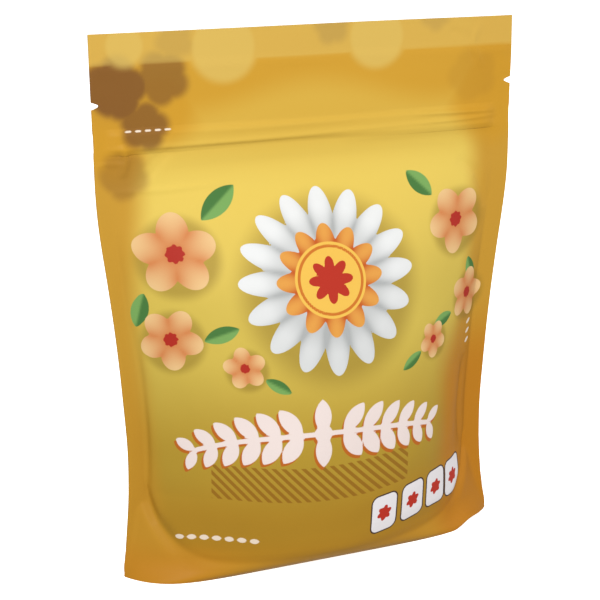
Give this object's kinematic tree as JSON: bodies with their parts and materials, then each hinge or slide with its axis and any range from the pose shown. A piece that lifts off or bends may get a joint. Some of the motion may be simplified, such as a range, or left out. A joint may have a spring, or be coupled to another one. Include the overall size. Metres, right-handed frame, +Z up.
{
  "type": "stand-up pouch of dried apricots",
  "caption": "Sealed stand-up food pouch with a boat-shaped base film, sealed sides, tear notches and a press-to-close zipper, filled with dried apricots.",
  "frame": {"origin": "middle of the base, on the surface the pouch stands on", "axes": "+Z up, -Y out of the printed front face, +X to the right of somebody who looks at the front"},
  "size_m": [0.165, 0.0602, 0.203],
  "materials": {
    "printed_film": "semi-gloss printed laminate, golden yellow to ochre",
    "base_film": "semi-gloss printed laminate, plain orange-brown",
    "zipper_plastic": "natural polyethylene, milky",
    "dried_fruit": "leathery dried fruit, orange, satin"
  },
  "bodies": {
    "root": {"front_face": "printed_film", "back_face": "printed_film", "base_film": "base_film", "zipper_rib_strip": "zipper_plastic", "zipper_groove_strip": "zipper_plastic", "dried_apricot_01": "dried_fruit", "dried_apricot_02": "dried_fruit", "dried_apricot_03": "dried_fruit", "dried_apricot_04": "dried_fruit", "dried_apricot_05": "dried_fruit", "dried_apricot_06": "dried_fruit", "dried_apricot_07": "dried_fruit", "dried_apricot_08": "dried_fruit", "dried_apricot_09": "dried_fruit", "dried_apricot_10": "dried_fruit", "dried_apricot_11": "dried_fruit", "dried_apricot_12": "dried_fruit", "dried_apricot_13": "dried_fruit", "dried_apricot_14": "dried_fruit", "dried_apricot_15": "dried_fruit", "dried_apricot_16": "dried_fruit", "dried_apricot_17": "dried_fruit", "dried_apricot_18": "dried_fruit", "dried_apricot_19": "dried_fruit", "dried_apricot_20": "dried_fruit", "dried_apricot_21": "dried_fruit"}
  },
  "joints": []
}
